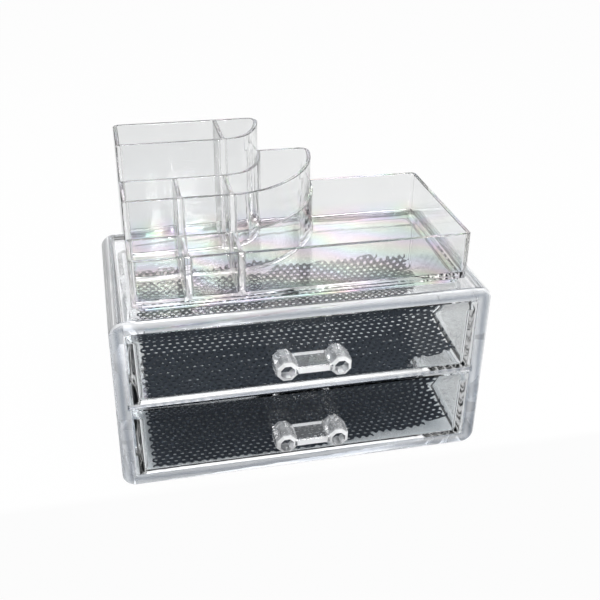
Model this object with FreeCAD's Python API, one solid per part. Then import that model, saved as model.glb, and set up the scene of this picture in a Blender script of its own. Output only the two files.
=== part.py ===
import FreeCAD, Part
import math
import os

# Clear storage organizer: a case with two drawers, and a terraced tray that lifts off its top.
# Millimetres, +Z up, front at -Y. The origin is the centre of the case's underside.

# Case: a thick-walled rounded tube that is open at the front and closed by a panel at the back
case_width = 187.0
case_depth = 97.0
case_height = 95.2
case_wall = 6.6
case_corner_radius = 7.0
bay_corner_radius = 0.6
case_edge_break = 1.4
back_thickness = 2.4
back_clearance = 0.1
shelf_thickness = 3.0
shelf_setback = 1.2
shelf_edge_break = 0.6
shelf_groove_depth = 1.0
shelf_clearance = 0.1

# Drawers: a tapered box behind a bevelled front panel that fills its bay
drawer_wall = 2.4
drawer_floor = 2.2
drawer_side_gap = 1.4
drawer_side_height = 33.8
drawer_draft = 0.7
drawer_corner_radius = 5.0
drawer_inner_round = 1.5
drawer_rear_gap = 1.0
front_thickness = 3.6
front_proud = 2.0
front_side_gap = 0.5
front_bottom_gap = 0.3
front_top_gap = 0.6
front_bevel = 3.7

# Handle: two eight-sided knobs joined by a flat ledge, with pegs through the drawer front
knob_spacing = 26.1
knob_root_width = 9.6
knob_width = 10.8
knob_shoulder_width = 9.8
knob_end_width = 6.6
knob_length = 13.5
knob_sides = 8
knob_station_shares = (0.0, 0.22, 0.8, 0.93, 1.0)
ledge_height = 4.0
ledge_chamfer = 0.5
ledge_setback = 0.5
peg_diameter = 3.6
peg_clearance = 0.1
peg_tail = 0.6

# Liner: a loose perforated mat on each drawer floor, so deep that its rear edge climbs the rear wall
liner_thickness = 1.0
liner_side_gap = 0.4
liner_rear_gap = 0.6
liner_bend_length = 5.0
liner_bend_slope = 35.0
liner_edge_length = 15.0
liner_edge_slope = 70.0
liner_columns = 15
liner_rows = 10
liner_edge_rows = 2
liner_hole_shares = (0.36, 0.34)

# Terraced tray: an outer wall of one low height, and two higher terraces with round right ends
tray_side_inset = 11.5
tray_end_inset = 6.3
tray_wall = 2.2
tray_floor = 2.4
tray_corner_radius = 3.0
tray_inner_round = 1.2
tray_inner_break = 0.8
tray_rim_break = 0.4
low_height = 21.4
middle_height = 40.0
tall_height = 57.9
low_row_depth = 24.6
middle_row_depth = 27.1
left_column_width = 26.9
right_column_width = 24.7
terrace_ledge = 1.6
middle_bulge = 50.0
tall_bulge = 22.0
terrace_turn_share = 0.8
terrace_end_radius = 5.0
foot_height = 4.0
foot_wall = 2.0
foot_inset = 3.0
seat_depth = 0.8
seat_clearance = 0.4

# Cuts run past the faces that they open by this much, and places closer than the tolerance are one place
overrun = 2.0
tolerance = 0.0001

# Places that follow from the sizes above
front_y = -case_depth / 2
back_y = case_depth / 2
bay_width = case_width - 2 * case_wall
bay_height = (case_height - 2 * case_wall - shelf_thickness) / 2
lower_bay_z = case_wall
upper_bay_z = case_wall + bay_height + shelf_thickness
drawer_box_width = bay_width - 2 * drawer_side_gap
tray_width = case_width - 2 * tray_side_inset
tray_depth = case_depth - 2 * tray_end_inset
tray_floor_z = case_height - seat_depth + foot_height + tray_floor
tray_front = -tray_depth / 2
tray_rear = tray_depth / 2
tray_left = -tray_width / 2
middle_front = tray_front + low_row_depth
tall_front = middle_front + middle_row_depth
terrace_split = tray_left + left_column_width
terrace_bend = terrace_split + right_column_width


def edges_where(shape, test):
    """The edges of a shape whose bounding box passes a test."""
    return [edge for edge in shape.Edges if test(edge.BoundBox)]


def flat_at(axis, place):
    """A test for edges that lie in the plane of one axis at a place."""
    ends = (axis + "Min", axis + "Max")
    return lambda b: all(abs(getattr(b, end) - place) < tolerance for end in ends)


def upright(b):
    """A test for edges that stand along Z."""
    return max(b.XLength, b.YLength) < tolerance


def block(x, y, z):
    """A box between two places on each axis."""
    size = (x[1] - x[0], y[1] - y[0], z[1] - z[0])
    return Part.makeBox(*size, FreeCAD.Vector(x[0], y[0], z[0]))


def rounded_block(x, y, z, radius):
    """A box whose upright edges are rounded."""
    shape = block(x, y, z)
    return shape.makeFillet(radius, edges_where(shape, upright))


def lying_block(x, y, z, radius):
    """A box whose edges along Y are rounded."""
    shape = block(x, y, z)
    along_y = edges_where(shape, lambda b: max(b.XLength, b.ZLength) < tolerance)
    return shape.makeFillet(radius, along_y)


def across(size):
    """The two places of a size that is centred on zero."""
    return (-size / 2, size / 2)


def faceted(faces):
    """A solid of flat faces, each given by its corners, anticlockwise from outside."""
    return Part.makeSolid(Part.makeShell([Part.Face(Part.makePolygon(face + face[:1])) for face in faces]))


def stacked(rings):
    """A solid of flat faces through rings of corners, anticlockwise as seen from the last one."""
    faces = [rings[0][::-1], rings[-1]]
    for near, far in zip(rings, rings[1:]):
        for i in range(len(near)):
            j = (i + 1) % len(near)
            faces.append([near[i], near[j], far[j], far[i]])
    return faceted(faces)


def case_shell():
    """Rounded tube with a groove for the shelf on each side and a seat for the tray on its top."""
    outer = lying_block(across(case_width), (front_y, back_y), (0, case_height), case_corner_radius)
    outer = outer.makeChamfer(case_edge_break, edges_where(outer, flat_at("Y", front_y)))
    inside_z = (case_wall, case_height - case_wall)
    inside_y = (front_y - overrun, back_y + overrun)
    shape = outer.cut(lying_block(across(bay_width), inside_y, inside_z, bay_corner_radius))
    groove_x = across(bay_width + 2 * shelf_groove_depth)
    groove_y = (front_y + shelf_setback - shelf_clearance, back_y - back_thickness)
    groove_z = (upper_bay_z - shelf_thickness - shelf_clearance, upper_bay_z + shelf_clearance)
    shape = shape.cut(block(groove_x, groove_y, groove_z))
    return shape.cut(foot_ring(case_height - seat_depth, case_height + overrun, seat_clearance))


def case_back():
    """Panel bonded inside the tube's rear end."""
    x = across(bay_width - 2 * back_clearance)
    z = (case_wall + back_clearance, case_height - case_wall - back_clearance)
    return lying_block(x, (back_y - back_thickness, back_y), z, bay_corner_radius)


def case_shelf():
    """Plate in the side grooves, between the two bays."""
    x = across(bay_width + 2 * (shelf_groove_depth - shelf_clearance))
    z = (upper_bay_z - shelf_thickness, upper_bay_z)
    plate = block(x, (front_y + shelf_setback, back_y - back_thickness), z)
    return plate.makeChamfer(shelf_edge_break, edges_where(plate, flat_at("Y", front_y + shelf_setback)))


def drawer_places(bay_z):
    """Where a drawer's panel and box start and end in a bay."""
    bottom = bay_z + front_bottom_gap
    panel_y = (front_y - front_proud, front_y - front_proud + front_thickness)
    box_y = (panel_y[1], back_y - back_thickness - drawer_rear_gap)
    return bottom, panel_y, box_y


def tapered_box(half_width, y, z, draft):
    """A box that is narrower at its bottom by the draft on the sides and the rear."""
    rings = []
    for height, tuck in ((z[0], draft), (z[1], 0)):
        x = half_width - tuck
        corners = [(-x, y[0]), (x, y[0]), (x, y[1] - tuck), (-x, y[1] - tuck)]
        rings.append([FreeCAD.Vector(px, py, height) for px, py in corners])
    return stacked(rings)


def corner_edges(shape, z):
    """The four edges of a tapered box that run from its bottom to its top."""
    return edges_where(shape, lambda b: b.ZMin < z[0] + tolerance and b.ZMax > z[1] - tolerance)


def front_panel(bay_z):
    """Panel that fills a bay, bevelled all round from the case's own front to its proud face."""
    bottom, panel_y, box_y = drawer_places(bay_z)
    half = bay_width / 2 - front_side_gap
    top = bay_z + bay_height - front_top_gap
    rings = []
    for y, inset in ((panel_y[1], 0), (panel_y[0] + front_proud, 0), (panel_y[0], front_bevel)):
        x = half - inset
        corners = [(-x, bottom + inset), (x, bottom + inset), (x, top - inset), (-x, top - inset)]
        rings.append([FreeCAD.Vector(px, y, pz) for px, pz in corners])
    return stacked(rings)


def drawer(bay_z):
    """Bevelled front panel and tapered box with peg holes, moulded in one."""
    bottom, panel_y, box_y = drawer_places(bay_z)
    outer_z = (bottom, bottom + drawer_side_height)
    outer = tapered_box(drawer_box_width / 2, box_y, outer_z, drawer_draft)
    rear = [e for e in corner_edges(outer, outer_z) if e.CenterOfMass.y > 0]
    outer = outer.makeFillet(drawer_corner_radius, rear)
    shape = front_panel(bay_z).fuse(outer).cut(drawer_hollow(bay_z))
    for x in across(knob_spacing):
        shape = shape.cut(peg(x, bay_z, peg_diameter / 2 + peg_clearance, overrun))
    return shape.removeSplitter()


def drawer_hollow(bay_z):
    """Space inside a drawer box, open at the top, with the rounded corners of a mould's core."""
    bottom, panel_y, box_y = drawer_places(bay_z)
    z = (bottom + drawer_floor, bottom + drawer_side_height + overrun)
    y = (box_y[0], box_y[1] - drawer_wall)
    hollow = tapered_box(drawer_box_width / 2 - drawer_wall, y, z, drawer_draft)
    corners = corner_edges(hollow, z)
    hollow = hollow.makeFillet(drawer_corner_radius - drawer_wall, corners)
    return hollow.makeFillet(drawer_inner_round, edges_where(hollow, flat_at("Z", z[0])))


def handle_z(bay_z):
    """Height of a handle: the middle of its drawer front."""
    return bay_z + (bay_height + front_bottom_gap - front_top_gap) / 2


def peg(x, bay_z, radius, tail):
    """Round peg through a drawer front, from its face to a tail behind it."""
    y = drawer_places(bay_z)[1]
    base = FreeCAD.Vector(x, y[0], handle_z(bay_z))
    return Part.makeCylinder(radius, front_thickness + tail, base, FreeCAD.Vector(0, 1, 0))


def knob(x, bay_z):
    """Faceted post through eight-sided rings: it swells, then closes in to a bevelled end."""
    face_y = drawer_places(bay_z)[1][0]
    widths = (knob_root_width, knob_width, knob_width, knob_shoulder_width, knob_end_width)
    turn = 2 * math.pi / knob_sides
    rings = []
    for share, width in zip(knob_station_shares, widths):
        radius = width / 2 / math.cos(turn / 2)
        y = face_y - knob_length * share
        points = []
        for i in range(knob_sides):
            angle = turn * i + turn / 2
            place = (x + radius * math.cos(angle), y, handle_z(bay_z) + radius * math.sin(angle))
            points.append(FreeCAD.Vector(*place))
        rings.append(points)
    return stacked(rings)


def handle(bay_z):
    """Two faceted knobs, the ledge between them and a peg behind each knob."""
    face_y = drawer_places(bay_z)[1][0]
    z = handle_z(bay_z)
    front = face_y - knob_length + ledge_setback
    ledge = block(across(knob_spacing), (front, face_y), (z - ledge_height / 2, z + ledge_height / 2))
    at_front = flat_at("Y", front)
    shape = ledge.makeChamfer(ledge_chamfer, edges_where(ledge, lambda b: at_front(b) and not upright(b)))
    for x in across(knob_spacing):
        shape = shape.fuse([knob(x, bay_z), peg(x, bay_z, peg_diameter / 2, peg_tail)])
    return shape.removeSplitter()


def net_strip(width, length, rows):
    """Flat strip of net that runs back from the origin: one face with staggered diamond holes, thickened."""
    corners = [(-width / 2, 0), (width / 2, 0), (width / 2, length), (-width / 2, length)]
    outlines = [corners]
    step_x = width / (liner_columns + 1)
    step_y = length / (rows + 1)
    half_x = step_x * liner_hole_shares[0]
    half_y = step_y * liner_hole_shares[1]
    for row in range(rows):
        y = step_y * (row + 1)
        shift = step_x / 4 if row % 2 else -step_x / 4
        for column in range(liner_columns):
            x = -width / 2 + step_x * (column + 1) + shift
            outlines.append([(x - half_x, y), (x, y - half_y), (x + half_x, y), (x, y + half_y)])
    wires = []
    for outline in outlines:
        points = [FreeCAD.Vector(x, y, 0) for x, y in outline]
        wires.append(Part.makePolygon(points + points[:1]))
    net = Part.makeFace(wires, "Part::FaceMakerBullseye")
    return net.extrude(FreeCAD.Vector(0, 0, liner_thickness))


def liner(bay_z):
    """Net mat that lies on a drawer's floor, bends up at the rear and leans on the rear wall."""
    bottom, panel_y, box_y = drawer_places(bay_z)
    width = drawer_box_width - 2 * (drawer_wall + drawer_draft + drawer_inner_round + liner_side_gap)
    bend = math.radians(liner_bend_slope)
    edge = math.radians(liner_edge_slope)
    climb = liner_bend_length * math.cos(bend) + liner_edge_length * math.cos(edge)
    front = box_y[0] + drawer_inner_round + liner_side_gap
    rear = box_y[1] - drawer_wall - drawer_draft - liner_rear_gap
    strips = [
        (rear - climb - front, liner_rows, 0),
        (liner_bend_length, 0, liner_bend_slope),
        (liner_edge_length, liner_edge_rows, liner_edge_slope),
    ]
    place = FreeCAD.Vector(0, front, bottom + drawer_floor)
    parts = []
    for length, rows, slope in strips:
        strip = net_strip(width, length, rows)
        strip.rotate(FreeCAD.Vector(0, 0, 0), FreeCAD.Vector(1, 0, 0), slope)
        strip.translate(place)
        parts.append(strip)
        turn = math.radians(slope)
        place = place + FreeCAD.Vector(0, length * math.cos(turn), length * math.sin(turn))
    return parts[0].fuse(parts[1:]).removeSplitter()


def arc(centre, radius, start, end):
    """An arc in a level plane, anticlockwise between two angles."""
    circle = Part.Circle(centre, FreeCAD.Vector(0, 0, 1), radius)
    return Part.ArcOfCircle(circle, start, end).toShape()


def oval_radii(bulge, depth):
    """The radii of a quarter oval's front arc and end arc: the small one turns the end of its longer axis."""
    short, long = sorted((bulge, depth))
    small = short * terrace_turn_share
    large = (short ** 2 + long ** 2 - 2 * long * small) / (2 * (short - small))
    return (small, large) if bulge < depth else (large, small)


def terrace(front, bulge, grow, z):
    """A terrace block, grown by a step: straight on the left, and a quarter oval of two arcs on the right."""
    turn, sweep = oval_radii(bulge, tray_rear - front)
    near = FreeCAD.Vector(terrace_bend, front + turn, z[0])
    far = FreeCAD.Vector(terrace_bend + bulge - sweep, tray_rear, z[0])
    step = near - far if turn < sweep else far - near
    join = math.atan2(step.y, step.x)
    arcs = [arc(near, turn + grow, -math.pi / 2, join), arc(far, sweep + grow, join, 0)]
    corners = [
        (terrace_bend + bulge + grow, tray_rear),
        (tray_left, tray_rear),
        (tray_left, front - grow),
        (terrace_bend, front - grow),
    ]
    points = [FreeCAD.Vector(px, py, z[0]) for px, py in corners]
    sides = [Part.makeLine(points[i], points[i + 1]) for i in range(len(points) - 1)]
    return Part.Face(Part.Wire(arcs + sides)).extrude(FreeCAD.Vector(0, 0, z[1] - z[0]))


def at_end(shape):
    """A test for the edge of a block that stands at its rear right."""
    box = shape.BoundBox
    return lambda b: upright(b) and max(box.XMax - b.XMax, box.YMax - b.YMax) < tolerance


def round_end(shape, radius):
    """The block with its upright edge at the rear right rounded."""
    return shape.makeFillet(radius, edges_where(shape, at_end(shape)))


def foot_ring(z0, z1, clearance):
    """Ring under the tray that sits in the seat of the case's top, widened by a clearance."""
    inset = foot_inset - clearance
    core = foot_inset + foot_wall + clearance
    outer_radius = tray_corner_radius + clearance
    outer = rounded_block(
        across(tray_width - 2 * inset), across(tray_depth - 2 * inset), (z0, z1), outer_radius
    )
    inner_z = (z0 - overrun, z1 + overrun)
    core_radius = tray_corner_radius - clearance
    inner = rounded_block(
        across(tray_width - 2 * core), across(tray_depth - 2 * core), inner_z, core_radius
    )
    return outer.cut(inner)


def softened(hollow, end_radius=tray_inner_round):
    """A hollow with rounded upright edges and a broken bottom edge, as a mould's core has."""
    end = at_end(hollow)
    shape = hollow.makeFillet(tray_inner_round, edges_where(hollow, lambda b: upright(b) and not end(b)))
    shape = round_end(shape, end_radius)
    return shape.makeChamfer(tray_inner_break, edges_where(shape, flat_at("Z", hollow.BoundBox.ZMin)))


def compartments(z):
    """The hollows of the tray, row by row from the rear."""
    half = tray_wall / 2
    left = tray_left + tray_wall
    right = tray_width / 2 - tray_wall
    rear = tray_rear - tray_wall
    front = tray_front + tray_wall
    split = terrace_split
    bend = terrace_bend
    middle_back = tall_front - terrace_ledge
    low_back = middle_front - terrace_ledge
    beyond = block((bend + half, tray_width / 2), (tray_front, rear), z)
    tall_core = terrace(tall_front, tall_bulge, -tray_wall, z).common(beyond)
    middle_core = terrace(middle_front, middle_bulge, -tray_wall, z).common(beyond)
    tall_skirt = terrace(tall_front, tall_bulge, terrace_ledge, z)
    middle_skirt = terrace(middle_front, middle_bulge, terrace_ledge, z)
    open_tray = block((bend + half, right), (front, rear), z).cut(middle_skirt)
    end_radius = terrace_end_radius - tray_wall
    hollows = [softened(tall_core, end_radius), softened(middle_core.cut(tall_skirt), end_radius)]
    hollows.append(softened(open_tray))
    hollows.append(softened(block((left, bend - half), (tall_front + tray_wall, rear), z)))
    for x in ((left, split - half), (split + half, bend - half)):
        hollows.append(softened(block(x, (middle_front + tray_wall, middle_back), z)))
        hollows.append(softened(block(x, (front, low_back), z)))
    return hollows


def rim_edges(shape, z):
    """The outer edges of a rim: those at its height whose faces all lie at or below it."""
    level = [edge for edge in shape.Edges if flat_at("Z", z)(edge.BoundBox)]
    below = lambda edge: all(f.BoundBox.ZMax < z + tolerance for f in shape.ancestorsOfType(edge, Part.Face))
    return [edge for edge in level if below(edge)]


def top_tray():
    """Terraced tray: stacked blocks with a ledge at each lower rim, hollowed into compartments."""
    base = tray_floor_z - tray_floor
    low_rim = tray_floor_z + low_height
    middle_rim = tray_floor_z + middle_height
    tall_rim = tray_floor_z + tall_height
    shape = rounded_block(across(tray_width), across(tray_depth), (base, low_rim), tray_corner_radius)
    middle = round_end(terrace(middle_front, middle_bulge, 0, (tray_floor_z, middle_rim)), terrace_end_radius)
    tall = round_end(terrace(tall_front, tall_bulge, 0, (tray_floor_z, tall_rim)), terrace_end_radius)
    skirt = terrace(tall_front, tall_bulge, terrace_ledge, (tray_floor_z, middle_rim))
    outline = rounded_block(across(tray_width), across(tray_depth), (base, tall_rim), tray_corner_radius)
    terraces = middle.fuse([tall, skirt]).common(outline)
    shape = shape.fuse([terraces, foot_ring(base - foot_height, base, 0)])
    for hollow in compartments((tray_floor_z, tall_rim + overrun)):
        shape = shape.cut(hollow)
    shape = shape.removeSplitter()
    for z in (low_rim, middle_rim, tall_rim):
        shape = shape.makeChamfer(tray_rim_break, rim_edges(shape, z))
    return shape


def main():
    """Writes each piece to its own file."""
    os.makedirs("parts", exist_ok=True)
    pieces = {
        "case_shell": case_shell(),
        "case_back": case_back(),
        "case_shelf": case_shelf(),
        "top_tray": top_tray(),
    }
    for name, bay_z in (("upper", upper_bay_z), ("lower", lower_bay_z)):
        pieces[name + "_drawer"] = drawer(bay_z)
        pieces[name + "_handle"] = handle(bay_z)
        pieces[name + "_liner"] = liner(bay_z)
    for name, shape in pieces.items():
        print(name, shape.isValid(), len(shape.Solids), round(shape.Volume, 1), shape.BoundBox)
        shape.exportStep("parts/" + name + ".step")


main()
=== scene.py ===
import math
import random

import bmesh
import bpy
from mathutils import Matrix, Vector


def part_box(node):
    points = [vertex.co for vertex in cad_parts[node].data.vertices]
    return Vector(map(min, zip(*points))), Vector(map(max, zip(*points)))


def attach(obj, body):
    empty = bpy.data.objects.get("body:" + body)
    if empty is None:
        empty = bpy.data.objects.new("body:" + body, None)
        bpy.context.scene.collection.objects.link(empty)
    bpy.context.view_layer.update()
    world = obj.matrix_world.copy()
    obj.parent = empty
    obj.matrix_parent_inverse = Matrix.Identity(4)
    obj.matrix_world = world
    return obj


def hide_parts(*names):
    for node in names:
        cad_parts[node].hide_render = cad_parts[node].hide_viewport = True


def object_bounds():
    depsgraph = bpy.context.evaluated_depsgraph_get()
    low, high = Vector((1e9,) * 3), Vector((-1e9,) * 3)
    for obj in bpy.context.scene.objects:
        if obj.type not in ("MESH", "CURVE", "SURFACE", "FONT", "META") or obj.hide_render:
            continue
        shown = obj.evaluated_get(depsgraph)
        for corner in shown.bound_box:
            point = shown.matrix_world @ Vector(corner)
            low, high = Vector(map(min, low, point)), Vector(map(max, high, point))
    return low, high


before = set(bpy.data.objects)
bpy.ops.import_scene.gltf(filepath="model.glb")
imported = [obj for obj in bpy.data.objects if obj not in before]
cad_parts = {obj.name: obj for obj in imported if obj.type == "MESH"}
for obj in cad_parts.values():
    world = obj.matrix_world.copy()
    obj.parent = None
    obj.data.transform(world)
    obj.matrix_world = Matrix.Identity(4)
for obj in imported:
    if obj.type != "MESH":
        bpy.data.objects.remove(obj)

bl_info = {
    "name": "Clear drawer organizer",
    "version": (1, 0, 0),
    "blender": (4, 5, 0),
    "location": "3D View > Sidebar > Organizer",
    "description": "Dresses a clear two-drawer organizer, with net liners and a pale studio",
    "category": "Object",
}

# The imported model's box, taken before anything is added to it
CAD_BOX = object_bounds()

# Width of the camera's sensor in millimetres
SENSOR_WIDTH = 36.0

# Ranges of a face's direction, where 1 faces straight up or straight ahead
CORNER_START_SHARES = (0.05, 0.3)
CORNER_END_SHARES = (0.85, 0.98)
KNOB_END_SHARES = (0.93, 0.98)
KNOB_RING_SHARES = (0.1, 0.6)

# Ranges of direction in the room: the pale wall behind, the dim ceiling and the window's four sides
PALE_WALL_SHARES = (-0.1, 0.3)
CEILING_SHARES = (0.7, 0.9)
WINDOW_LEFT_SHARES = (-0.12, -0.04)
WINDOW_RIGHT_SHARES = (0.3, 0.37)
WINDOW_SILL_SHARES = (0.28, 0.34)
WINDOW_TOP_SHARES = (0.5, 0.58)
LEAST_AHEAD_SHARE = 0.01

# How uneven the case's gleam is, by how many streaks the drift of the tint shifts the painted light and
# shade streaks of the case's front edge, and by how many bands it shifts the tray's painted rainbow
CORNER_PATCH_SHARES = (0.6, 1.4)
PAINTED_STREAK_DRIFT = 3
PAINTED_RAINBOW_DRIFT = 2

# Finish of the net: its pale patches, their part beside the grain, its roughness, gloss and grain
PALE_NET_SHARE = 1.5
NET_PATCH_SHARE = 0.6
NET_ROUGH_SHARES = (0.75, 0.9)
NET_GLOSS_SHARE = 0.15
NET_GRAIN_SHARE = 0.5

# Octaves of the noise that makes patches
PATCH_DETAIL = 3.0

# Neighbours of a net cell, in half pitches and rows, and the sides that a cut towards them opens
NET_NEIGHBOURS = (((2, 0), {2}), ((1, -1), {0, 1}), ((1, 1), {3, 4}))

# How many faces a ray of light may pass, and how many it may be mirrored by
PASSED_FACES = 40
MIRROR_FACES = 16

# Pieces by finish
CASE_NODES = ("case_shell", "case_back", "case_shelf")
DRAWER_NODES = ("upper_drawer", "lower_drawer")
HANDLE_NODES = ("upper_handle", "lower_handle")
TRAY_NODES = ("top_tray",)
LINER_NODES = ("upper_liner", "lower_liner")

# Lamps of the stage, as their settings begin
LAMPS = ("key", "rim", "fill")


class PlasticSettings(bpy.types.PropertyGroup):
    """Finish of the clear moulded pieces."""

    refraction: bpy.props.FloatProperty(
        name="Refraction",
        description="How strongly the plastic bends light",
        default=1.5,
        min=1.0,
        max=2.0,
    )
    gloss: bpy.props.FloatProperty(
        name="Gloss",
        description="Strength of the mirror image in a face, where 0.5 is bare plastic",
        default=0.2,
        subtype="FACTOR",
        min=0.0,
        max=1.0,
    )
    tint: bpy.props.FloatVectorProperty(
        name="Tint",
        description="Colour of light that has passed through a wall",
        subtype="COLOR",
        size=3,
        default=(0.993, 0.996, 0.997),
        min=0.0,
        max=1.0,
    )
    shade: bpy.props.FloatVectorProperty(
        name="Shade",
        description="Colour of lamp light that has passed a face on its way to the mats and the floor",
        subtype="COLOR",
        size=3,
        default=(0.925, 0.935, 0.945),
        min=0.0,
        max=1.0,
    )
    polish: bpy.props.FloatProperty(
        name="Polish",
        description="Roughness of an untouched face",
        default=0.004,
        subtype="FACTOR",
        min=0.0,
        max=1.0,
    )
    handle_gloss: bpy.props.FloatProperty(
        name="Handle gloss",
        description="Strength of the mirror image in a handle's facets, where 0.5 is bare plastic",
        default=1.0,
        subtype="FACTOR",
        min=0.0,
        max=1.0,
    )
    facet_gleam: bpy.props.FloatProperty(
        name="Facet gleam",
        description="Share of light that the side facets of a knob scatter",
        default=0.15,
        subtype="FACTOR",
        min=0.0,
        max=1.0,
    )
    corner_gleam: bpy.props.FloatProperty(
        name="Corner gleam",
        description="Share of light that the case's long rounded edges scatter",
        default=0.5,
        subtype="FACTOR",
        min=0.0,
        max=1.0,
    )
    ring_gleam: bpy.props.FloatProperty(
        name="Ring gleam",
        description="Share of light that the bevel round a knob's end and the ledge's front scatter",
        default=0.72,
        subtype="FACTOR",
        min=0.0,
        max=1.0,
    )
    ledge_gleam: bpy.props.FloatProperty(
        name="Ledge gleam",
        description="Share of light that the ledge's top and underside scatter",
        default=0.06,
        subtype="FACTOR",
        min=0.0,
        max=1.0,
    )
    ledge_share: bpy.props.FloatProperty(
        name="Ledge share",
        description="Share of a handle's width that the ledge between the knobs takes",
        default=0.41,
        subtype="FACTOR",
        min=0.0,
        max=1.0,
    )
    handling: bpy.props.FloatProperty(
        name="Handling",
        description="Roughness that fingers add in patches",
        default=0.03,
        subtype="FACTOR",
        min=0.0,
        max=1.0,
    )
    patch_length: bpy.props.FloatProperty(
        name="Patch length",
        description="Size of the patches that fingers leave",
        default=0.03,
        unit="LENGTH",
        min=0.001,
    )
    ripple_height: bpy.props.FloatProperty(
        name="Ripple height",
        description="Height of the flow ripple that moulding leaves in the faces",
        default=0.00004,
        unit="LENGTH",
        min=0.0,
    )
    ripple_length: bpy.props.FloatProperty(
        name="Ripple length",
        description="Distance from one flow ripple to the next",
        default=0.014,
        unit="LENGTH",
        min=0.001,
    )
    case_flow: bpy.props.FloatProperty(
        name="Case flow",
        description="Size of the drifts of tint in the case",
        default=0.06,
        unit="LENGTH",
        min=0.001,
    )
    wall_flow: bpy.props.FloatProperty(
        name="Wall flow",
        description="Size of the drifts of tint in the drawers and the tray",
        default=0.05,
        unit="LENGTH",
        min=0.001,
    )
    handle_flow: bpy.props.FloatProperty(
        name="Handle flow",
        description="Size of the drifts of tint in a handle",
        default=0.01,
        unit="LENGTH",
        min=0.001,
    )
    # Painted light: the tray's rainbow bands stand in for the colours that light shows in stressed
    # plastic, painted into its tint
    stress: bpy.props.FloatProperty(
        name="Stress colour",
        description="Strength of the rainbow bands that moulding stress shows in the tray",
        default=0.21,
        subtype="FACTOR",
        min=0.0,
        max=1.0,
    )
    painted_rainbow_band: bpy.props.FloatProperty(
        name="Stress band",
        description="Width of one rainbow band in the tray",
        default=0.03,
        unit="LENGTH",
        min=0.001,
    )
    painted_rainbow_lean: bpy.props.FloatProperty(
        name="Stress lean",
        description="How much the rainbow bands lean to the side",
        default=0.6,
        min=0.0,
    )
    painted_rainbow_share: bpy.props.FloatProperty(
        name="Stress share",
        description="Share of the tray's height, from its foot, over which the rainbow fades",
        default=0.2,
        subtype="FACTOR",
        min=0.01,
        max=1.0,
    )
    # Painted shade and painted light: the dark and pale streaks of the case's front edge stand in for the
    # light bent along the thick wall, not for a colour of the plastic
    painted_dark_streak: bpy.props.FloatVectorProperty(
        name="Dark edge streak",
        description="Darkest colour of the case's thick front edge, which is seen along the wall",
        subtype="COLOR",
        size=3,
        default=(0.22, 0.25, 0.3),
        min=0.0,
        max=1.0,
    )
    painted_pale_streak: bpy.props.FloatVectorProperty(
        name="Pale edge streak",
        description="Palest colour of the case's thick front edge",
        subtype="COLOR",
        size=3,
        default=(0.56, 0.59, 0.63),
        min=0.0,
        max=1.0,
    )
    painted_streak_width: bpy.props.FloatProperty(
        name="Edge streak",
        description="Width of one streak along the case's front edge",
        default=0.0024,
        unit="LENGTH",
        min=0.0001,
    )
    painted_streak_reach: bpy.props.FloatProperty(
        name="Edge skin",
        description="How far the streaks of the front edge reach back, over its chamfer",
        default=0.0015,
        unit="LENGTH",
        min=0.0001,
    )
    seam: bpy.props.FloatProperty(
        name="Seam",
        description="Hair's breadth between pieces that rest on each other",
        default=0.00003,
        unit="LENGTH",
        min=0.0,
    )
    weld: bpy.props.FloatProperty(
        name="Weld",
        description="Distance within which the corners of two faces are one",
        default=0.000003,
        unit="LENGTH",
        min=0.0,
    )
    crease: bpy.props.FloatProperty(
        name="Crease",
        description="Bend from which an edge of a moulding stays sharp",
        default=math.radians(50),
        unit="ROTATION",
    )
    facet_crease: bpy.props.FloatProperty(
        name="Facet crease",
        description="Bend from which an edge of a handle stays sharp",
        default=math.radians(20),
        unit="ROTATION",
    )


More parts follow.
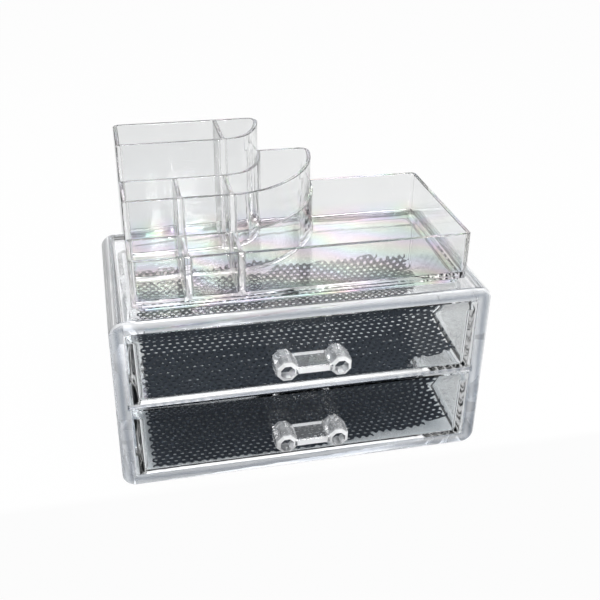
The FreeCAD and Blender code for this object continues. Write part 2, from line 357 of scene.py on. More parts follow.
class LinerSettings(bpy.types.PropertyGroup):
    """Net liners on the drawer floors."""

    pitch: bpy.props.FloatProperty(
        name="Hole pitch",
        description="Distance between holes in a row",
        default=0.00395,
        unit="LENGTH",
        min=0.001,
    )
    row_step: bpy.props.FloatProperty(
        name="Row step",
        description="Distance between rows of holes",
        default=0.0028,
        unit="LENGTH",
        min=0.001,
    )
    hole_width: bpy.props.FloatProperty(
        name="Hole width",
        description="Width of a hole along its row",
        default=0.0018,
        unit="LENGTH",
        min=0.0001,
    )
    thickness: bpy.props.FloatProperty(
        name="Thickness",
        description="Thickness of the net",
        default=0.0009,
        unit="LENGTH",
        min=0.0001,
    )
    hole_depth: bpy.props.FloatProperty(
        name="Hole depth",
        description="Size of a hole across its row",
        default=0.0019,
        unit="LENGTH",
        min=0.0001,
    )
    lift: bpy.props.FloatProperty(
        name="Lift",
        description="Air between the net and the drawer floor",
        default=0.00008,
        unit="LENGTH",
        min=0.0,
    )
    bend_radius: bpy.props.FloatProperty(
        name="Bend radius",
        description="Radius of the bend where the rear edge climbs the drawer's rear wall",
        default=0.008,
        unit="LENGTH",
        min=0.001,
    )
    edge_slope: bpy.props.FloatProperty(
        name="Edge slope",
        description="Lean of the rear edge against the rear wall",
        default=math.radians(70),
        unit="ROTATION",
        min=0.1,
    )
    curl_width: bpy.props.FloatProperty(
        name="Curl width",
        description="Width of the right end that curls up towards the side wall",
        default=0.03,
        unit="LENGTH",
        min=0.001,
    )
    curl_height: bpy.props.FloatProperty(
        name="Curl height",
        description="How far the right edge stands up",
        default=0.0035,
        unit="LENGTH",
        min=0.0,
    )
    overhang: bpy.props.FloatProperty(
        name="Overhang",
        description="How far the side edges reach past the packed mat, to the side walls",
        default=0.0012,
        unit="LENGTH",
        min=0.0,
    )
    front_reach: bpy.props.FloatProperty(
        name="Front reach",
        description="How far the front edge reaches past the packed mat, to the drawer front",
        default=0.0014,
        unit="LENGTH",
        min=0.0,
    )
    front_rise: bpy.props.FloatProperty(
        name="Front rise",
        description="How far the front edge stands up in the round of the drawer front",
        default=0.0005,
        unit="LENGTH",
        min=0.0,
    )
    rear_drop: bpy.props.FloatProperty(
        name="Rear drop",
        description="How much lower the rear edge stands at its right end",
        default=0.0045,
        unit="LENGTH",
        min=0.0,
    )
    rear_trim: bpy.props.FloatProperty(
        name="Rear trim",
        description="How much lower the lower net's rear edge stands than the upper one's",
        default=0.007,
        unit="LENGTH",
        min=0.0,
    )
    notch_width: bpy.props.FloatProperty(
        name="Notch width",
        description="Width of the corner that is cut out of the upper net at the front right",
        default=0.026,
        unit="LENGTH",
        min=0.0,
    )
    notch_depth: bpy.props.FloatProperty(
        name="Notch depth",
        description="Depth of the cut-out corner",
        default=0.0095,
        unit="LENGTH",
        min=0.0,
    )
    skew: bpy.props.FloatProperty(
        name="Skew",
        description="Slope of the lower net's front edge, which is cut askew on its right half",
        default=math.radians(6),
        unit="ROTATION",
        min=0.0,
    )
    fray: bpy.props.FloatProperty(
        name="Fray",
        description="Share of the edge cells that the cut has opened",
        default=0.6,
        subtype="FACTOR",
        min=0.0,
        max=1.0,
    )
    patch_length: bpy.props.FloatProperty(
        name="Patch length",
        description="Size of the patches where the net is greyer",
        default=0.02,
        unit="LENGTH",
        min=0.001,
    )
    grain_length: bpy.props.FloatProperty(
        name="Grain length",
        description="Size of the grains of the net's skin",
        default=0.0006,
        unit="LENGTH",
        min=0.0001,
    )
    grain_height: bpy.props.FloatProperty(
        name="Grain height",
        description="Height of the grains of the net's skin",
        default=0.0001,
        unit="LENGTH",
        min=0.0,
    )
    colour: bpy.props.FloatVectorProperty(
        name="Colour",
        description="Colour of the soft black net",
        subtype="COLOR",
        size=3,
        default=(0.0138, 0.0172, 0.0226),
        min=0.0,
        max=1.0,
    )
    seed: bpy.props.IntProperty(
        name="Seed",
        description="Start of the pattern of frayed cells",
        default=7,
    )


class StageSettings(bpy.types.PropertyGroup):
    """Camera, floor and light."""

    camera_place: bpy.props.FloatVectorProperty(
        name="Camera place",
        description="Where the camera stands",
        subtype="TRANSLATION",
        unit="LENGTH",
        size=3,
        default=(-0.08802, -0.40609, 0.30191),
    )
    camera_yaw: bpy.props.FloatProperty(
        name="Camera yaw",
        description="Turn of the view to the right of straight ahead",
        default=0.23,
        unit="ROTATION",
    )
    camera_pitch: bpy.props.FloatProperty(
        name="Camera pitch",
        description="Tilt of the view above the level",
        default=-0.506,
        unit="ROTATION",
    )
    camera_roll: bpy.props.FloatProperty(
        name="Camera roll",
        description="Lean of the camera",
        default=0.017,
        unit="ROTATION",
    )
    camera_lens: bpy.props.FloatProperty(
        name="Camera lens",
        description="Focal length on a 36 mm sensor",
        default=53.71,
        unit="CAMERA",
        min=1.0,
    )
    camera_clip: bpy.props.FloatProperty(
        name="Camera clip",
        description="Distance from which the camera sees",
        default=0.01,
        unit="LENGTH",
        min=0.0001,
    )
    floor_size: bpy.props.FloatProperty(
        name="Floor size",
        description="Side of the square floor",
        default=6.0,
        unit="LENGTH",
        min=0.5,
    )
    floor_gap: bpy.props.FloatProperty(
        name="Floor gap",
        description="Air between the case and the floor",
        default=0.0002,
        unit="LENGTH",
        min=0.0,
    )
    floor_colour: bpy.props.FloatVectorProperty(
        name="Floor colour",
        description="Colour of the pale floor",
        subtype="COLOR",
        size=3,
        default=(0.86, 0.87, 0.87),
        min=0.0,
        max=1.0,
    )
    table_colour: bpy.props.FloatVectorProperty(
        name="Table colour",
        description="Colour of the floor in front of the object, which the drawer fronts mirror",
        subtype="COLOR",
        size=3,
        default=(0.08, 0.09, 0.105),
        min=0.0,
        max=1.0,
    )
    paper_fade: bpy.props.FloatProperty(
        name="Paper fade",
        description="Length over which the floor's colour changes in front of the case",
        default=0.006,
        unit="LENGTH",
        min=0.001,
    )
    paper_waver: bpy.props.FloatProperty(
        name="Paper waver",
        description="Length of the waves in the edge of the pale floor",
        default=0.4,
        unit="LENGTH",
        min=0.001,
    )
    white_seen: bpy.props.FloatProperty(
        name="White seen",
        description="Share of plain white in the floor that the camera sees, over its shadow",
        default=0.97,
        subtype="FACTOR",
        min=0.0,
        max=1.0,
    )
    white_mirrored: bpy.props.FloatProperty(
        name="White mirrored",
        description="Share of plain white in the floor that is mirrored in the plastic",
        default=0.02,
        subtype="FACTOR",
        min=0.0,
        max=1.0,
    )
    # Painted shade: the floor under the case and in front of it gets none of this white when seen through
    # the plastic
    white_through: bpy.props.FloatProperty(
        name="White through plastic",
        description="Share of plain white in the open floor that is seen through the plastic",
        default=0.4,
        subtype="FACTOR",
        min=0.0,
        max=1.0,
    )
    lamp_distance: bpy.props.FloatProperty(
        name="Lamp distance",
        description="Distance from the lamps to the object's middle",
        default=0.9,
        unit="LENGTH",
        min=0.1,
    )
    key_power: bpy.props.FloatProperty(
        name="Key light",
        description="Power of the large soft light at the front right",
        default=4.8,
        unit="POWER",
        min=0.0,
    )
    key_size: bpy.props.FloatProperty(
        name="Key light size",
        description="Side of the key light's square",
        default=0.5,
        unit="LENGTH",
        min=0.01,
    )
    key_turn: bpy.props.FloatProperty(
        name="Key light turn",
        description="Turn of the key light to the right of the front",
        default=math.radians(35),
        unit="ROTATION",
    )
    key_rise: bpy.props.FloatProperty(
        name="Key light rise",
        description="Height of the key light above the level",
        default=math.radians(46),
        unit="ROTATION",
    )
    rim_power: bpy.props.FloatProperty(
        name="Rim light",
        description="Power of the soft light behind and above",
        default=3.2,
        unit="POWER",
        min=0.0,
    )
    rim_size: bpy.props.FloatProperty(
        name="Rim light size",
        description="Side of the rim light's square",
        default=0.4,
        unit="LENGTH",
        min=0.01,
    )
    rim_turn: bpy.props.FloatProperty(
        name="Rim light turn",
        description="Turn of the rim light to the right of the front",
        default=math.radians(200),
        unit="ROTATION",
    )
    rim_rise: bpy.props.FloatProperty(
        name="Rim light rise",
        description="Height of the rim light above the level",
        default=math.radians(60),
        unit="ROTATION",
    )
    fill_power: bpy.props.FloatProperty(
        name="Fill light",
        description="Power of the small light in front",
        default=4.6,
        unit="POWER",
        min=0.0,
    )
    fill_size: bpy.props.FloatProperty(
        name="Fill light size",
        description="Side of the fill light's square",
        default=0.14,
        unit="LENGTH",
        min=0.01,
    )
    fill_turn: bpy.props.FloatProperty(
        name="Fill light turn",
        description="Turn of the fill light to the right of the front",
        default=math.radians(3),
        unit="ROTATION",
    )
    fill_rise: bpy.props.FloatProperty(
        name="Fill light rise",
        description="Height of the fill light above the level",
        default=math.radians(24),
        unit="ROTATION",
    )
    glare: bpy.props.FloatProperty(
        name="Glare",
        description="Extra brightness of the window in the backdrop, which the level faces mirror",
        default=0.96,
        min=0.0,
    )
    room_colour: bpy.props.FloatVectorProperty(
        name="Room colour",
        description="Colour of the room round the object",
        subtype="COLOR",
        size=3,
        default=(1.0, 1.0, 1.0),
        min=0.0,
        max=1.0,
    )
    room_light: bpy.props.FloatProperty(
        name="Room light",
        description="Brightness of the pale room behind the object",
        default=0.64,
        min=0.0,
    )
    room_dark: bpy.props.FloatProperty(
        name="Room dark",
        description="Brightness of the dim room behind the camera",
        default=0.08,
        min=0.0,
    )


class Flow:
    """A socket whose sums and products add Math nodes to its recipe."""

    def __init__(self, recipe, socket):
        self.recipe = recipe
        self.socket = socket

    def calc(self, operation, *values):
        """A Math node of an operation on values and sockets."""
        return self.recipe.add("ShaderNodeMath", {"operation": operation}, dict(enumerate(values)))

    def __add__(self, other):
        return self.calc("ADD", self, other)

    __radd__ = __add__

    def __sub__(self, other):
        return self.calc("SUBTRACT", self, other)

    def __rsub__(self, other):
        return self.calc("SUBTRACT", other, self)

    def __mul__(self, other):
        return self.calc("MULTIPLY", self, other)

    __rmul__ = __mul__

    def __truediv__(self, other):
        return self.calc("DIVIDE", self, other)

    def __rtruediv__(self, other):
        return self.calc("DIVIDE", other, self)

    def __lt__(self, other):
        return self.calc("LESS_THAN", self, other)

    def __gt__(self, other):
        return self.calc("GREATER_THAN", self, other)

    def __abs__(self):
        return self.calc("ABSOLUTE", self)

    def cosine(self):
        """Cosine of the value."""
        return self.calc("COSINE", self)

    def between(self, start, end):
        """Rises from zero to one between two values."""
        return ((self - start) / (end - start)).most(0.0).least(1.0)

    def least(self, other):
        """The smaller of two values."""
        return self.calc("MINIMUM", self, other)

    def most(self, other):
        """The larger of two values."""
        return self.calc("MAXIMUM", self, other)


class Recipe:
    """A node tree and the one way that nodes are added to it."""

    def __init__(self, tree):
        self.tree = tree
        tree.nodes.clear()

    def add(self, kind, settings=None, sockets=None, output=0):
        """Adds a node: its settings first, then its sockets' values or links. Gives one output."""
        node = self.tree.nodes.new(kind)
        for name, value in (settings or {}).items():
            setattr(node, name, value)
        for name, value in (sockets or {}).items():
            if isinstance(value, Flow):
                self.tree.links.new(value.socket, node.inputs[name])
            else:
                node.inputs[name].default_value = value
        return Flow(self, node.outputs[output]) if node.outputs else None

    def mix(self, factor, first, second):
        """A colour between two colours."""
        return self.add("ShaderNodeMix", {"data_type": "RGBA"}, {0: factor, 6: first, 7: second}, 2)

    def noise(self, place, length, detail=2.0):
        """Noise whose patches are about one length wide."""
        sockets = {"Vector": place, "Scale": 1 / length, "Detail": detail}
        return self.add("ShaderNodeTexNoise", None, sockets)

    def place(self):
        """The place on the piece, which moves with it."""
        return self.add("ShaderNodeTexCoord", None, None, "Object")

    def facing(self):
        """Direction that the surface faces, in the object's own frame."""
        return self.add("ShaderNodeTexCoord", None, None, "Normal")

    def axes(self, vector):
        """The three parts of a vector."""
        return [self.add("ShaderNodeSeparateXYZ", None, {"Vector": vector}, axis) for axis in "XYZ"]


def opaque(colour):
    """A colour with full alpha."""
    return (*colour, 1.0)


def new_material(name):
    """An empty material and the recipe of its node tree."""
    material = bpy.data.materials.new(name)
    material.use_nodes = True
    return material, Recipe(material.node_tree)


def clear_plastic(recipe, settings, base, gloss):
    """Polished plastic of a base colour, with flow ripple and finger patches."""
    place = recipe.place()
    patches = recipe.noise(place, settings.patch_length, PATCH_DETAIL)
    roughness = settings.polish + settings.handling * ((patches - 0.5) * 2).most(0.0)
    ripple = recipe.noise(place, settings.ripple_length)
    bump = {"Strength": 1.0, "Distance": settings.ripple_height, "Height": ripple}
    sockets = {
        "Base Color": base,
        "Roughness": roughness,
        "IOR": settings.refraction,
        "Specular IOR Level": gloss,
        "Transmission Weight": 1.0,
        "Normal": recipe.add("ShaderNodeBump", None, bump),
    }
    return recipe.add("ShaderNodeBsdfPrincipled", None, sockets)


def gleaming(recipe, plastic, colour, share):
    """Plastic of which a share of the light is scattered pale."""
    frost = recipe.add("ShaderNodeBsdfDiffuse", None, {"Color": colour})
    return recipe.add("ShaderNodeMixShader", None, {0: share, 1: plastic, 2: frost})


def let_lamps_through(recipe, settings, plastic):
    """Ends a recipe: lamps and stray light pass the plastic straight, a little dimmed."""
    clear = recipe.add("ShaderNodeBsdfTransparent", None, {"Color": opaque(settings.shade)})
    shadow = recipe.add("ShaderNodeLightPath", None, None, "Is Shadow Ray")
    diffuse = recipe.add("ShaderNodeLightPath", None, None, "Is Diffuse Ray")
    surface = recipe.add("ShaderNodeMixShader", None, {0: shadow.most(diffuse), 1: plastic, 2: clear})
    recipe.add("ShaderNodeOutputMaterial", None, {"Surface": surface})


def case_plastic(settings):
    """Clear plastic of the case, with a breath of lilac, and painted dark and pale streaks along its thick
    front edge, standing in for the light seen along the wall.
    """
    material, recipe = new_material("case_clear_plastic")
    place = recipe.place()
    x, y, z = recipe.axes(place)
    low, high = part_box("case_shell")
    flow = recipe.noise(place, settings.case_flow)
    lilac = (0.972, 0.972, 0.99)
    walls = recipe.mix(flow, opaque(settings.tint), opaque(lilac))
    # Painted light and shade: dark and pale streaks on the case's front face, parallel to its outer edges,
    # standing in for the light seen along the thick wall
    rim = (high.x - abs(x)).least(z - low.z).least(high.z - z)
    streaks = rim / settings.painted_streak_width + flow * PAINTED_STREAK_DRIFT
    paleness = 0.5 + (streaks * math.pi).cosine() * 0.5
    edge = recipe.mix(paleness, opaque(settings.painted_dark_streak), opaque(settings.painted_pale_streak))
    base = recipe.mix(y < low.y + settings.painted_streak_reach, walls, edge)
    plastic = clear_plastic(recipe, settings, base, settings.gloss)
    rise = recipe.axes(recipe.facing())[2]
    corner = rise.between(*CORNER_START_SHARES) * (1 - rise.between(*CORNER_END_SHARES))
    least, most = CORNER_PATCH_SHARES
    gleam = corner * settings.corner_gleam * (least + flow * (most - least))
    let_lamps_through(recipe, settings, gleaming(recipe, plastic, walls, gleam))
    return material


def drawer_plastic(settings):
    """Clear plastic of the drawers, a little greener than the case."""
    material, recipe = new_material("drawer_clear_plastic")
    flow = recipe.noise(recipe.place(), settings.wall_flow)
    sea = (0.965, 0.982, 0.98)
    base = recipe.mix(flow, opaque(settings.tint), opaque(sea))
    let_lamps_through(recipe, settings, clear_plastic(recipe, settings, base, settings.gloss))
    return material


def handle_plastic(settings):
    """Clear plastic of the cut handles: facets, bevels and the ledge gleam, the knobs' ends stay clear."""
    material, recipe = new_material("handle_clear_plastic")
    place = recipe.place()
    ledge_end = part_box("upper_handle")[1].x * settings.ledge_share
    flow = recipe.noise(place, settings.handle_flow)
    water = (0.985, 0.985, 0.995)
    base = recipe.mix(flow, opaque(settings.tint), opaque(water))
    plastic = clear_plastic(recipe, settings, base, settings.handle_gloss)
    forward = 0 - recipe.axes(recipe.facing())[1]
    end = forward.between(*KNOB_END_SHARES)
    ring = forward.between(*KNOB_RING_SHARES)
    knob = (1 - end) * (settings.facet_gleam + ring * (settings.ring_gleam - settings.facet_gleam))
    ledge = settings.ledge_gleam + end * (settings.ring_gleam - settings.ledge_gleam)
    on_ledge = abs(recipe.axes(place)[0]) < ledge_end
    gleam = on_ledge * ledge + (1 - on_ledge) * knob
    let_lamps_through(recipe, settings, gleaming(recipe, plastic, base, gleam))
    return material


def tray_plastic(settings):
    """Clear plastic of the tray, with painted rainbow bands over its floor: the colours that light shows
    in moulding stress, painted into the tint.
    """
    material, recipe = new_material("tray_clear_plastic")
    place = recipe.place()
    x, y, z = recipe.axes(place)
    low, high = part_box("top_tray")
    drift = recipe.noise(place, settings.wall_flow)
    # Painted light: rainbow bands in the tint, fading up from the tray's floor, standing in for the
    # colours that light shows in stressed plastic
    turns = (x * settings.painted_rainbow_lean + y) / settings.painted_rainbow_band + drift * PAINTED_RAINBOW_DRIFT
    bands = []
    for colour_share in (0.0, 1 / 3, 2 / 3):
        wave = ((turns + colour_share) * (2 * math.pi)).cosine()
        bands.append(1 - settings.stress * (0.5 - wave * 0.5))
    rainbow = recipe.add("ShaderNodeCombineColor", None, dict(enumerate(bands)))
    rise = (z - low.z) / (high.z - low.z)
    floor_share = (1 - rise / settings.painted_rainbow_share).most(0.0)
    base = recipe.mix(floor_share, opaque(settings.tint), rainbow)
    let_lamps_through(recipe, settings, clear_plastic(recipe, settings, base, settings.gloss))
    return material


def net_rubber(settings):
    """Soft black net: charcoal that greys a little in patches, with a fine skin."""
    material, recipe = new_material("liner_black_net")
    place = recipe.place()
    patches = recipe.noise(place, settings.patch_length, PATCH_DETAIL)
    grain = recipe.noise(place, settings.grain_length)
    pale = [level * PALE_NET_SHARE for level in settings.colour]
    greyed = patches * NET_PATCH_SHARE + grain * (1 - NET_PATCH_SHARE)
    least, most = NET_ROUGH_SHARES
    bump = {"Strength": NET_GRAIN_SHARE, "Distance": settings.grain_height, "Height": grain}
    sockets = {
        "Base Color": recipe.mix(greyed, opaque(settings.colour), opaque(pale)),
        "Roughness": least + patches * (most - least),
        "Specular IOR Level": NET_GLOSS_SHARE,
        "Normal": recipe.add("ShaderNodeBump", None, bump),
    }
    surface = recipe.add("ShaderNodeBsdfPrincipled", None, sockets)
    recipe.add("ShaderNodeOutputMaterial", None, {"Surface": surface})
    return material


def soft_shading(name, crease, settings):
    """Geometry nodes that weld a piece's faces, draw them in by a seam and keep its creases sharp."""
    tree = bpy.data.node_groups.new(name, "GeometryNodeTree")
    tree.interface.new_socket("Geometry", in_out="INPUT", socket_type="NodeSocketGeometry")
    tree.interface.new_socket("Geometry", in_out="OUTPUT", socket_type="NodeSocketGeometry")
    recipe = Recipe(tree)
    piece = recipe.add("NodeGroupInput")
    sockets = {"Geometry": piece, "Distance": settings.weld}
    welded = recipe.add("GeometryNodeMergeByDistance", None, sockets)
    sockets = {"Vector": recipe.add("GeometryNodeInputNormal"), "Scale": -settings.seam}
    inward = recipe.add("ShaderNodeVectorMath", {"operation": "SCALE"}, sockets)
    drawn = recipe.add("GeometryNodeSetPosition", None, {"Geometry": welded, "Offset": inward})
    sockets = {"Geometry": drawn, "Shade Smooth": True}
    smooth = recipe.add("GeometryNodeSetShadeSmooth", {"domain": "FACE"}, sockets)
    sockets = {"A": recipe.add("GeometryNodeInputMeshEdgeAngle"), "B": crease}
    gentle = recipe.add("FunctionNodeCompare", {"operation": "LESS_THAN"}, sockets)
    sockets = {"Geometry": smooth, "Shade Smooth": gentle}
    creased = recipe.add("GeometryNodeSetShadeSmooth", {"domain": "EDGE"}, sockets)
    recipe.add("NodeGroupOutput", None, {0: creased})
    return tree


def dress(names, material, shading):
    """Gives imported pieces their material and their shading."""
    for name in names:
        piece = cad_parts[name]
        for slot in piece.material_slots:
            slot.material = material
        modifier = piece.modifiers.new("soft_shading", "NODES")
        modifier.node_group = shading
        weighted = piece.modifiers.new("even_normals", "WEIGHTED_NORMAL")
        weighted.keep_sharp = True


def net_cell_rings(settings):
    """Corners of a net cell and of its hole, as steps of half a pitch and half a row, and as places."""
    steps = ((-1, -1), (0, -1), (1, -1), (1, 1), (0, 1), (-1, 1))
    half_width = settings.hole_width / 2
    half_depth = settings.hole_depth / 2
    hole = []
    for across, along in steps:
        reach = half_depth if across == 0 else half_depth / 2
        hole.append((across * half_width, along * reach))
    return steps, hole


def net_lay(low, high, settings):
    """How a net lies: a function from a place on the flat net to one in the drawer, and its length."""
    slope = settings.edge_slope
    radius = settings.bend_radius
    bend_rise = radius * (1 - math.cos(slope))
    edge_length = (high.z - low.z - settings.lift - settings.thickness - bend_rise) / math.sin(slope)
    front = low.y - settings.front_reach
    flat_length = high.y - front - radius * math.sin(slope) - edge_length * math.cos(slope)
    curl_start = high.x + settings.overhang - settings.curl_width

    def lay(x, v):
        turn = min(max((v - flat_length) / radius, 0), slope)
        climbed = max(v - flat_length - radius * slope, 0)
        y = front + min(v, flat_length) + radius * math.sin(turn) + climbed * math.cos(slope)
        rise = radius * (1 - math.cos(turn)) + climbed * math.sin(slope)
        curl = settings.curl_height * max((x - curl_start) / settings.curl_width, 0) ** 2
        lip = settings.front_rise * max(1 - v / (2 * settings.front_reach), 0)
        return (x, y, low.z + settings.lift + rise + curl + lip)

    return lay, flat_length + radius * slope + edge_length


def net_cuts(low, high, length, settings):
    """Where each net is cut: a function for each that tells whether a place on the flat net is kept."""
    def rear(x):
        return length - settings.rear_drop * (x - low.x) / (high.x - low.x)

    def upper(x, v):
        in_notch = x > high.x - settings.notch_width and v < settings.notch_depth
        return v < rear(x) and not in_notch

    def lower(x, v):
        return v < rear(x) - settings.rear_trim and v > x * math.tan(settings.skew)

    return {"upper_liner": upper, "lower_liner": lower}


def net_places(left, columns, rows, kept, settings):
    """Middles of the cells that the cut keeps, by their half pitch across and their row."""
    places = {}
    for row in range(rows):
        for column in range(columns):
            half_steps = 2 * column + 1 + row % 2
            place = (left + half_steps * settings.pitch / 2, (row + 0.5) * settings.row_step)
            if kept(*place):
                places[(half_steps, row)] = place
    return places


def opened_sides(half_steps, row, places, chance, fray):
    """Sides of a cell that lie open, by chance, where the cut has taken its neighbour."""
    opened = set()
    for (across, along), sides in NET_NEIGHBOURS:
        if (half_steps + across, row + along) not in places and chance.random() < fray:
            opened = sides
    return opened


def net_sheet(node, settings):
    """A net of staggered holes, laid in its drawer, whose edges are cut through cells here and there."""
    low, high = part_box(node)
    lay, length = net_lay(low, high, settings)
    kept = net_cuts(low, high, length, settings)[node]
    right = high.x + settings.overhang
    rows = int(length / settings.row_step)
    columns = int(2 * right / settings.pitch - 0.5)
    left = right - (columns + 0.5) * settings.pitch
    places = net_places(left, columns, rows, kept, settings)
    steps, hole = net_cell_rings(settings)
    chance = random.Random(settings.seed)
    mesh = bmesh.new()
    corners = {}
    for (half_steps, row), (x, v) in places.items():
        opened = opened_sides(half_steps, row, places, chance, settings.fray)
        outer = []
        inner = []
        for (across, along), (hole_x, hole_y) in zip(steps, hole):
            key = (half_steps + across, row + (along + 1) // 2)
            if key not in corners:
                corner = lay(left + key[0] * settings.pitch / 2, key[1] * settings.row_step)
                corners[key] = mesh.verts.new(corner)
            outer.append(corners[key])
            inner.append(mesh.verts.new(lay(x + hole_x, v + hole_y)))
        for side in range(len(steps)):
            after = (side + 1) % len(steps)
            if side not in opened:
                mesh.faces.new((outer[side], outer[after], inner[after], inner[side]))
    loose = [vertex for vertex in mesh.verts if not vertex.link_faces]
    bmesh.ops.delete(mesh, geom=loose, context="VERTS")
    data = bpy.data.meshes.new(node + "_net")
    mesh.to_mesh(data)
    mesh.free()
    return data


def net_liner(node, material, settings):
    """A net liner in the place of its packed mat: a sheet made thick and rounded."""
    piece = bpy.data.objects.new(node + "_net", net_sheet(node, settings))
    bpy.context.scene.collection.objects.link(piece)
    piece.data.materials.append(material)
    thick = piece.modifiers.new("thickness", "SOLIDIFY")
    thick.thickness = settings.thickness
    thick.offset = 1.0
    rounded = piece.modifiers.new("rounding", "SUBSURF")
    rounded.levels = 1
    rounded.render_levels = 1
    for polygon in piece.data.polygons:
        polygon.use_smooth = True
    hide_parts(node)
    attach(piece, node.replace("_liner", "_drawer_body"))


def camera_frame(settings):
    """The camera's place and axes from its yaw, pitch and roll."""
    yaw = settings.camera_yaw
    pitch = settings.camera_pitch
    level = math.cos(pitch)
    forward = Vector((math.sin(yaw) * level, math.cos(yaw) * level, math.sin(pitch)))
    right = Vector((math.cos(yaw), -math.sin(yaw), 0))
    up = right.cross(forward)
    lean = Matrix.Rotation(-settings.camera_roll, 3, forward)
    axes = Matrix((lean @ right, lean @ up, -forward)).transposed()
    return Matrix.Translation(settings.camera_place) @ axes.to_4x4()


def studio_camera(settings):
    """The camera at the photograph's viewing angle."""
    data = bpy.data.cameras.new("studio_camera")
    data.sensor_width = SENSOR_WIDTH
    data.lens = settings.camera_lens
    data.clip_start = settings.camera_clip
    camera = bpy.data.objects.new("studio_camera", data)
    camera.matrix_world = camera_frame(settings)
    bpy.context.scene.collection.objects.link(camera)
    bpy.context.scene.camera = camera


def floor_paint(settings):
    """Pale floor: mostly plain white to the eye, with its soft shadow kept. Seen through the plastic, the
    floor under the case and in front of it gets no plain white: painted shade there.
    """
    material, recipe = new_material("studio_floor_paint")
    place = recipe.place()
    x, y = recipe.axes(place)[:2]
    low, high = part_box("case_shell")
    waver = recipe.noise(place, settings.paper_waver) * settings.paper_fade
    paper = (y + waver).between(low.y - settings.paper_fade, low.y)
    colour = recipe.mix(paper, opaque(settings.table_colour), opaque(settings.floor_colour))
    matt = recipe.add("ShaderNodeBsdfDiffuse", None, {"Color": colour})
    white = recipe.add("ShaderNodeEmission", None, {"Strength": 1.0})
    seen = recipe.add("ShaderNodeLightPath", None, None, "Is Camera Ray")
    mirrored = recipe.add("ShaderNodeLightPath", None, None, "Is Glossy Ray")
    through = recipe.add("ShaderNodeLightPath", None, None, "Is Transmission Ray")
    # Painted shade: the plain white seen through the plastic is left out under the case and in front of
    # it, so the floor there looks darker
    away = 1 - (abs(x) < high.x) * (y < high.y)
    behind = (mirrored * settings.white_mirrored).most(through * away * settings.white_through)
    share = (seen * settings.white_seen).most(behind)
    surface = recipe.add("ShaderNodeMixShader", None, {0: share, 1: matt, 2: white})
    recipe.add("ShaderNodeOutputMaterial", None, {"Surface": surface})
    return material


def studio_floor(settings):
    """A plain square floor just under the case."""
    level = CAD_BOX[0][2] - settings.floor_gap
    mesh = bmesh.new()
    bmesh.ops.create_grid(mesh, x_segments=1, y_segments=1, size=settings.floor_size / 2)
    data = bpy.data.meshes.new("studio_floor")
    mesh.to_mesh(data)
    mesh.free()
    data.materials.append(floor_paint(settings))
    floor = bpy.data.objects.new("studio_floor", data)
    floor.location = (0, 0, level)
    bpy.context.scene.collection.objects.link(floor)


def softbox(name, settings):
    """A square soft light, aimed at the middle of the object from its turn and its rise."""
    low, high = CAD_BOX
    middle = (Vector(low) + Vector(high)) / 2
    turn = getattr(settings, name + "_turn")
    rise = getattr(settings, name + "_rise")
    level = math.cos(rise)
    away = Vector((math.sin(turn) * level, -math.cos(turn) * level, math.sin(rise)))
    data = bpy.data.lights.new(name + "_light", "AREA")
    data.shape = "SQUARE"
    data.size = getattr(settings, name + "_size")
    data.energy = getattr(settings, name + "_power")
    lamp = bpy.data.objects.new(name + "_light", data)
    lamp.location = middle + away * settings.lamp_distance
    lamp.rotation_euler = away.to_track_quat("Z", "Y").to_euler()
    bpy.context.scene.collection.objects.link(lamp)


def studio_room(settings):
    """The room that the plastic mirrors and bends: pale behind the object, dim behind the camera."""
    world = bpy.data.worlds.new("studio_room")
    world.use_nodes = True
    bpy.context.scene.world = world
    recipe = Recipe(world.node_tree)
    direction = recipe.add("ShaderNodeTexCoord", None, None, "Generated")
    x, y, z = recipe.axes(direction)
    behind = y.between(*PALE_WALL_SHARES)
    overhead = z.between(*CEILING_SHARES)
    across = x / y.most(LEAST_AHEAD_SHARE)
    columns = across.between(*WINDOW_LEFT_SHARES) * (1 - across.between(*WINDOW_RIGHT_SHARES))
    rows = z.between(*WINDOW_SILL_SHARES) * (1 - z.between(*WINDOW_TOP_SHARES))
    window = columns * rows * (y > 0)
    pale = settings.room_light + window * settings.glare
    level = settings.room_dark + (pale - settings.room_dark) * behind * (1 - overhead)
    seen = recipe.add("ShaderNodeLightPath", None, None, "Is Camera Ray")
    strength = seen + (1 - seen) * level
    sockets = {"Color": opaque(settings.room_colour), "Strength": strength}
    background = recipe.add("ShaderNodeBackground", None, sockets)
    recipe.add("ShaderNodeOutputWorld", None, {"Surface": background})


def deep_light_paths(scene):
    """Lets light pass all the walls that stand behind each other."""
    scene.cycles.max_bounces = PASSED_FACES
    scene.cycles.transmission_bounces = PASSED_FACES
    scene.cycles.transparent_max_bounces = PASSED_FACES
    scene.cycles.glossy_bounces = MIRROR_FACES


class ORGANIZER_OT_case(bpy.types.Operator):
    """Dresses the case, its back and its shelf"""

    bl_idname = "organizer.case"
    bl_label = "Case"

    def execute(self, context):
        settings = context.scene.organizer_plastic
        shading = soft_shading("case_shading", settings.crease, settings)
        dress(CASE_NODES, case_plastic(settings), shading)
        return {"FINISHED"}


class ORGANIZER_OT_drawers(bpy.types.Operator):
    """Dresses the two drawers"""

    bl_idname = "organizer.drawers"
    bl_label = "Drawers"

    def execute(self, context):
        settings = context.scene.organizer_plastic
        shading = soft_shading("drawer_shading", settings.crease, settings)
        dress(DRAWER_NODES, drawer_plastic(settings), shading)
        return {"FINISHED"}


class ORGANIZER_OT_handles(bpy.types.Operator):
    """Dresses the two faceted handles"""

    bl_idname = "organizer.handles"
    bl_label = "Handles"

    def execute(self, context):
        settings = context.scene.organizer_plastic
        shading = soft_shading("handle_shading", settings.facet_crease, settings)
        dress(HANDLE_NODES, handle_plastic(settings), shading)
        return {"FINISHED"}


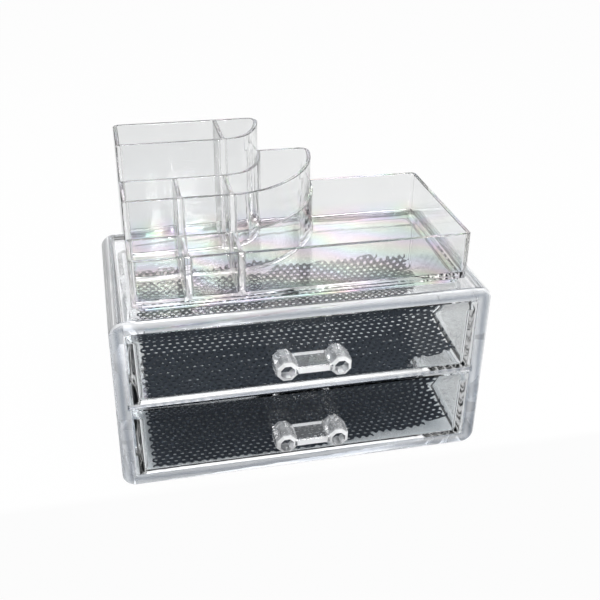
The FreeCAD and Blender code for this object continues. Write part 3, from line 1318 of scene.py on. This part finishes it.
class ORGANIZER_OT_tray(bpy.types.Operator):
    """Dresses the terraced tray"""

    bl_idname = "organizer.tray"
    bl_label = "Tray"

    def execute(self, context):
        settings = context.scene.organizer_plastic
        shading = soft_shading("tray_shading", settings.crease, settings)
        dress(TRAY_NODES, tray_plastic(settings), shading)
        return {"FINISHED"}


class ORGANIZER_OT_liners(bpy.types.Operator):
    """Lays a net liner in each drawer"""

    bl_idname = "organizer.liners"
    bl_label = "Liners"

    def execute(self, context):
        settings = context.scene.organizer_liner
        material = net_rubber(settings)
        for node in LINER_NODES:
            net_liner(node, material, settings)
        return {"FINISHED"}


class ORGANIZER_OT_stage(bpy.types.Operator):
    """Sets the camera, the floor and the light"""

    bl_idname = "organizer.stage"
    bl_label = "Stage"

    def execute(self, context):
        settings = context.scene.organizer_stage
        context.scene.view_settings.view_transform = "Standard"
        deep_light_paths(context.scene)
        studio_camera(settings)
        studio_floor(settings)
        studio_room(settings)
        for name in LAMPS:
            softbox(name, settings)
        return {"FINISHED"}


class ORGANIZER_PT_panel(bpy.types.Panel):
    """Lists the pieces of the organizer and their settings"""

    bl_idname = "ORGANIZER_PT_panel"
    bl_label = "Clear drawer organizer"
    bl_space_type = "VIEW_3D"
    bl_region_type = "UI"
    bl_category = "Organizer"

    def draw(self, context):
        for operator in OPERATORS:
            self.layout.operator(operator.bl_idname)
        for name in SETTINGS:
            settings = getattr(context.scene, name)
            for key in settings.__annotations__:
                self.layout.prop(settings, key)


OPERATORS = (
    ORGANIZER_OT_case,
    ORGANIZER_OT_drawers,
    ORGANIZER_OT_handles,
    ORGANIZER_OT_tray,
    ORGANIZER_OT_liners,
    ORGANIZER_OT_stage,
)
SETTINGS = {
    "organizer_plastic": PlasticSettings,
    "organizer_liner": LinerSettings,
    "organizer_stage": StageSettings,
}


def register():
    """Registers the settings, the operators and the panel."""
    for name, group in SETTINGS.items():
        bpy.utils.register_class(group)
        setattr(bpy.types.Scene, name, bpy.props.PointerProperty(type=group))
    for kind in (*OPERATORS, ORGANIZER_PT_panel):
        bpy.utils.register_class(kind)


def unregister():
    """Takes the panel, the operators and the settings away again."""
    for kind in (ORGANIZER_PT_panel, *reversed(OPERATORS)):
        bpy.utils.unregister_class(kind)
    for name, group in SETTINGS.items():
        delattr(bpy.types.Scene, name)
        bpy.utils.unregister_class(group)


def main():
    """Builds the scene piece by piece."""
    register()
    bpy.ops.organizer.case()
    bpy.ops.organizer.drawers()
    bpy.ops.organizer.handles()
    bpy.ops.organizer.tray()
    bpy.ops.organizer.liners()
    bpy.ops.organizer.stage()


if __name__ == "__main__":
    main()
